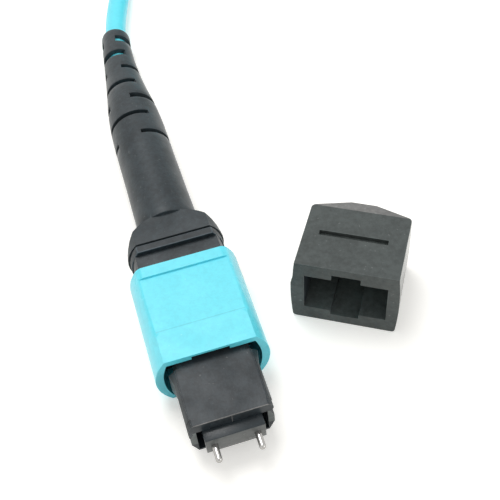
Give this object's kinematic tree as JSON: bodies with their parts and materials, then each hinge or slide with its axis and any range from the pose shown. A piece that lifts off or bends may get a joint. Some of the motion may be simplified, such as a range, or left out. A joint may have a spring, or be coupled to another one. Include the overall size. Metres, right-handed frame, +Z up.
{
  "type": "mpo fibre connector",
  "caption": "Multi-fibre push-on plug with guide pins on a round cable with a ribbed rubber boot, its pull-back coupling sleeve sprung, and its dust cap lying beside it.",
  "frame": {"origin": "middle of the coupling sleeve's underside, on the table that the plug lies on", "axes": "+X across the plug towards the dust cap, +Y back along the plug to the cable, +Z up, with the key underneath"},
  "size_m": [0.0523, 0.1252, 0.0095],
  "materials": {
    "sleeve_plastic": "smooth satin moulded plastic",
    "housing_plastic": "matte moulded plastic",
    "ferrule_resin": "ground, slightly glossy filled resin",
    "glue": "cured, satin",
    "pin_steel": "ground bright stainless steel",
    "spring_steel": "drawn wire",
    "seal_rubber": "soft matte",
    "fibre": "coated glass fibre ribbon",
    "yarn": "woven strength yarn",
    "ring_metal": "satin crimped metal",
    "boot_rubber": "matte flexible rubber",
    "cap_plastic": "matte moulded plastic",
    "cable_jacket": "satin flexible jacket",
    "tie_fabric": "woven hook-and-loop"
  },
  "bodies": {
    "plug": {"inner_housing": "housing_plastic", "spring_push": "housing_plastic", "main_spring": "spring_steel", "sleeve_spring_left": "spring_steel", "sleeve_spring_right": "spring_steel", "fibre_ribbon": "fibre", "aramid_yarn": "yarn", "crimp_ring": "ring_metal", "strain_relief_boot": "boot_rubber", "dust_cap": "cap_plastic", "cable": "cable_jacket", "cable_coil": "cable_jacket", "coil_tie": "tie_fabric"},
    "sleeve": {"coupling_sleeve": "sleeve_plastic"},
    "ferrule_group": {"ferrule": "ferrule_resin", "ferrule_glue": "glue", "guide_pin_left": "pin_steel", "guide_pin_right": "pin_steel", "pin_keeper": "ring_metal", "ferrule_boot": "seal_rubber"}
  },
  "joints": [
    {"name": "sleeve_slide", "type": "slide", "parent": "plug", "child": "sleeve", "axis": [0, 1, 0], "range_m": [0, 0.0022], "stiffness_N_per_m": 600, "springref_m": -0.002, "deforming": ["sleeve_spring_left", "sleeve_spring_right"]},
    {"name": "ferrule_float", "type": "slide", "parent": "plug", "child": "ferrule_group", "axis": [0, 1, 0], "range_m": [0, 0.0008], "stiffness_N_per_m": 5000, "springref_m": -0.001, "deforming": ["main_spring", "fibre_ribbon"]}
  ]
}
